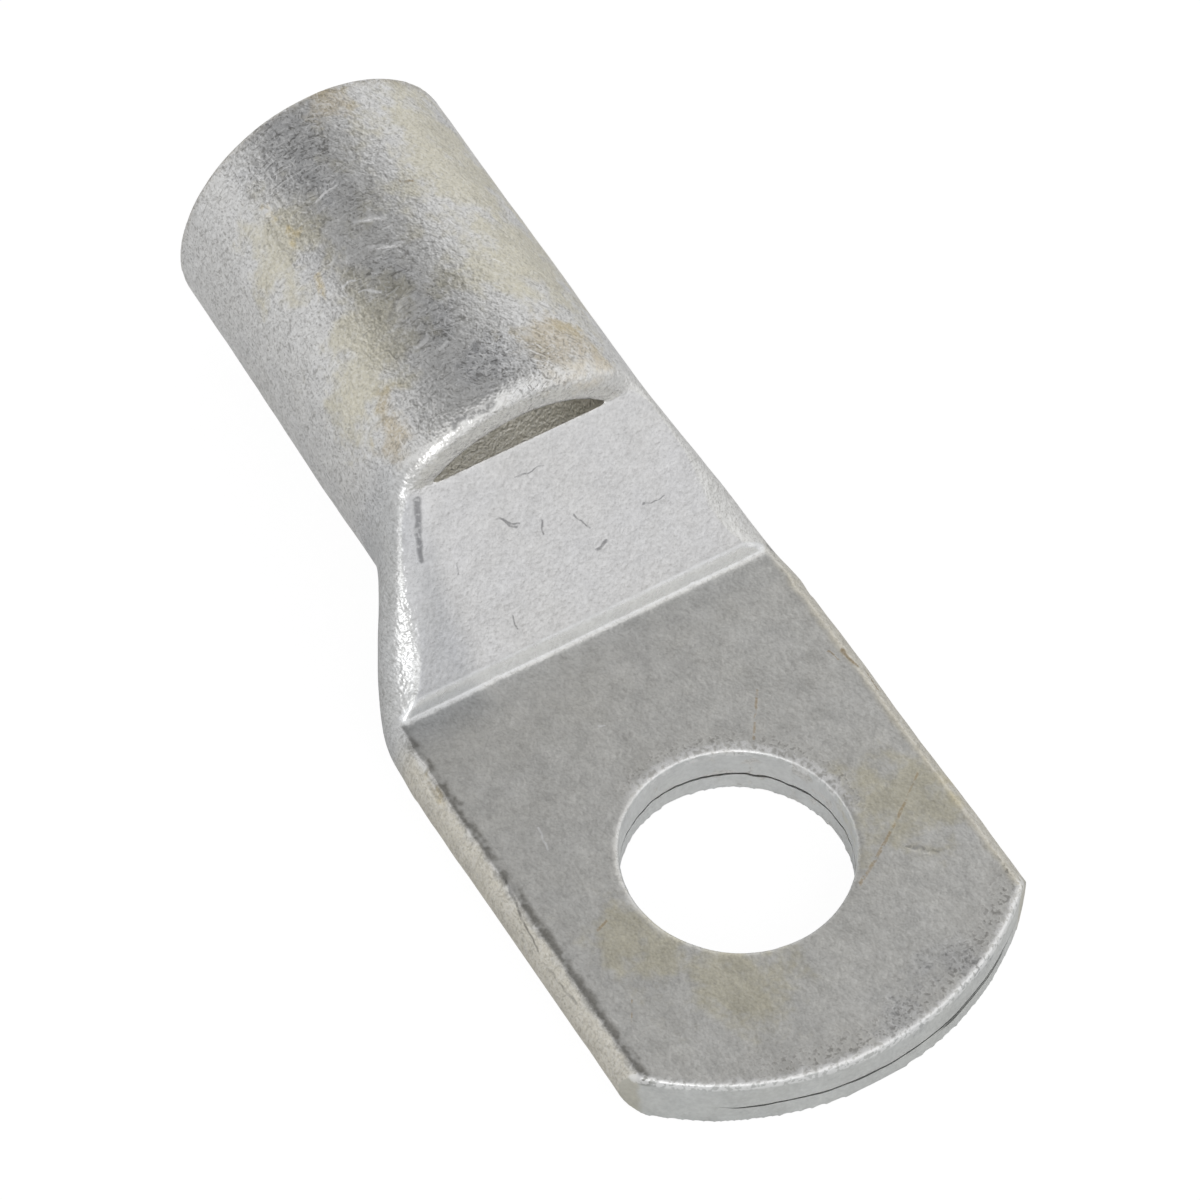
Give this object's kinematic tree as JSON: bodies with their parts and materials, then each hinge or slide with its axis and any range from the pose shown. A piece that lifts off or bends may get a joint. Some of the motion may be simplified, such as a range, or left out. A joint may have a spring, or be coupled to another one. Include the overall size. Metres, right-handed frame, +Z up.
{
  "type": "cable lug",
  "caption": "Tin-plated copper cable lug: round crimp barrel, sloping panel with a crescent sight slit, and a flattened palm with a stud hole.",
  "frame": {"origin": "on the stud hole's axis, in the plane of the palm's underside", "axes": "+X from the stud hole towards the barrel's mouth, +Z up out of the palm along the stud hole's axis, +Y across the palm"},
  "size_m": [0.0505, 0.021, 0.0145],
  "materials": {
    "tinned_copper": "satin"
  },
  "bodies": {
    "root": {"lug_body": "tinned_copper"}
  },
  "joints": []
}
